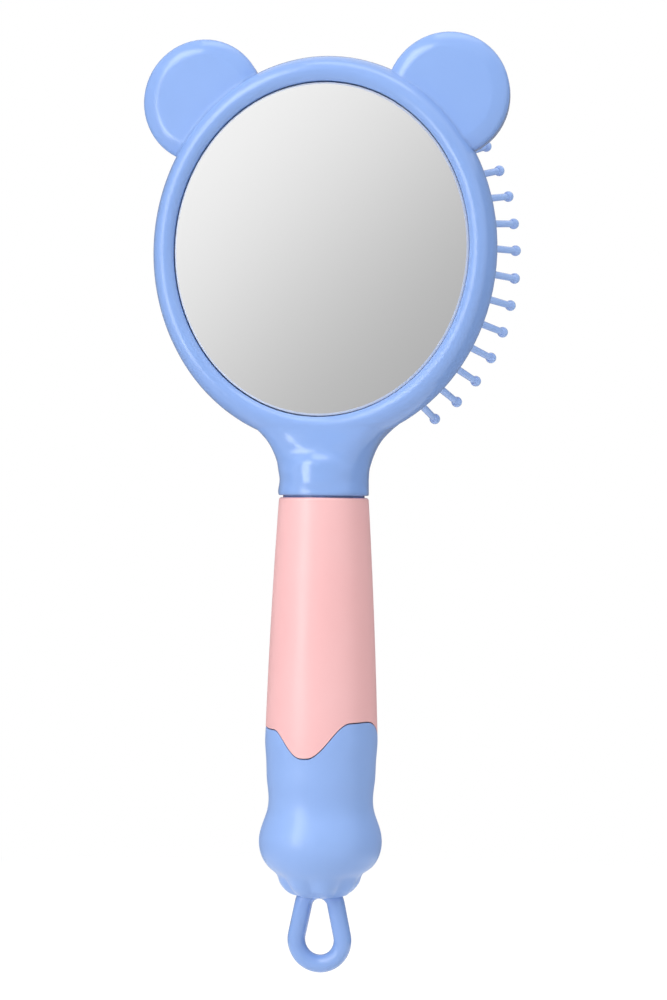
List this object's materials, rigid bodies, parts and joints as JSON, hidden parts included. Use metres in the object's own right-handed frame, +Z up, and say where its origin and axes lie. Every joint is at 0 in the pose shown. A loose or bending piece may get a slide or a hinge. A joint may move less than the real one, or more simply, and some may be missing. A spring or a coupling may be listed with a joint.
{
  "type": "styling brush with mirror",
  "caption": "Hand-held cushion hair brush with ball-tipped pins, a round mirror on its back, two round ears, a two-tone grip and a hang loop.",
  "frame": {"origin": "on the handle's axis, where the hand holds the grip", "axes": "+Z up the handle to the head, X across the width, the mirror faces -Y and the pins point to +Y"},
  "size_m": [0.0904, 0.0437, 0.2263],
  "materials": {
    "blue_gloss": "glossy",
    "blue_satin": "satin",
    "pink_satin": "satin",
    "mirror_silver": "polished",
    "foam_tape": "matte",
    "cushion_rubber": "matte",
    "white_plastic": "matte",
    "screw_steel": "plain",
    "pin_blue": "glossy"
  },
  "bodies": {
    "brush_body": {"front_shell": "blue_gloss", "rear_shell": "blue_gloss", "mirror": "mirror_silver", "mirror_tape": "foam_tape", "cushion": "cushion_rubber", "cushion_spacer": "white_plastic", "shell_screws": "screw_steel", "grip_sleeve": "pink_satin", "tail_cap": "blue_satin", "hang_loop": "blue_gloss", "loop_washer": "screw_steel", "loop_screw": "screw_steel"},
    "pins_centre": {"pins_centre": "pin_blue"},
    "pins_ring_1": {"pins_ring_1": "pin_blue"},
    "pins_ring_2": {"pins_ring_2": "pin_blue"},
    "pins_ring_3": {"pins_ring_3": "pin_blue"},
    "pins_ring_4": {"pins_ring_4": "pin_blue"},
    "pins_ring_5": {"pins_ring_5": "pin_blue"}
  },
  "joints": [
    {"name": "press_centre", "type": "slide", "parent": "brush_body", "child": "pins_centre", "axis": [0, -1, 0], "range_m": [0, 0.003]},
    {"name": "press_ring_1", "type": "slide", "parent": "brush_body", "child": "pins_ring_1", "axis": [0, -1, 0], "range_m": [0, 0.00295]},
    {"name": "press_ring_2", "type": "slide", "parent": "brush_body", "child": "pins_ring_2", "axis": [0, -1, 0], "range_m": [0, 0.00278]},
    {"name": "press_ring_3", "type": "slide", "parent": "brush_body", "child": "pins_ring_3", "axis": [0, -1, 0], "range_m": [0, 0.00246], "stiffness_N_per_m": 1500, "deforming": ["cushion"]},
    {"name": "press_ring_4", "type": "slide", "parent": "brush_body", "child": "pins_ring_4", "axis": [0, -1, 0], "range_m": [0, 0.00195]},
    {"name": "press_ring_5", "type": "slide", "parent": "brush_body", "child": "pins_ring_5", "axis": [0, -1, 0], "range_m": [0, 0.0009089]}
  ],
  "couplings": [
    {"joint": "press_centre", "follows": "press_ring_3", "ratio": 1.2171},
    {"joint": "press_ring_1", "follows": "press_ring_3", "ratio": 1.1949},
    {"joint": "press_ring_2", "follows": "press_ring_3", "ratio": 1.1258},
    {"joint": "press_ring_4", "follows": "press_ring_3", "ratio": 0.79103},
    {"joint": "press_ring_5", "follows": "press_ring_3", "ratio": 0.36874}
  ]
}
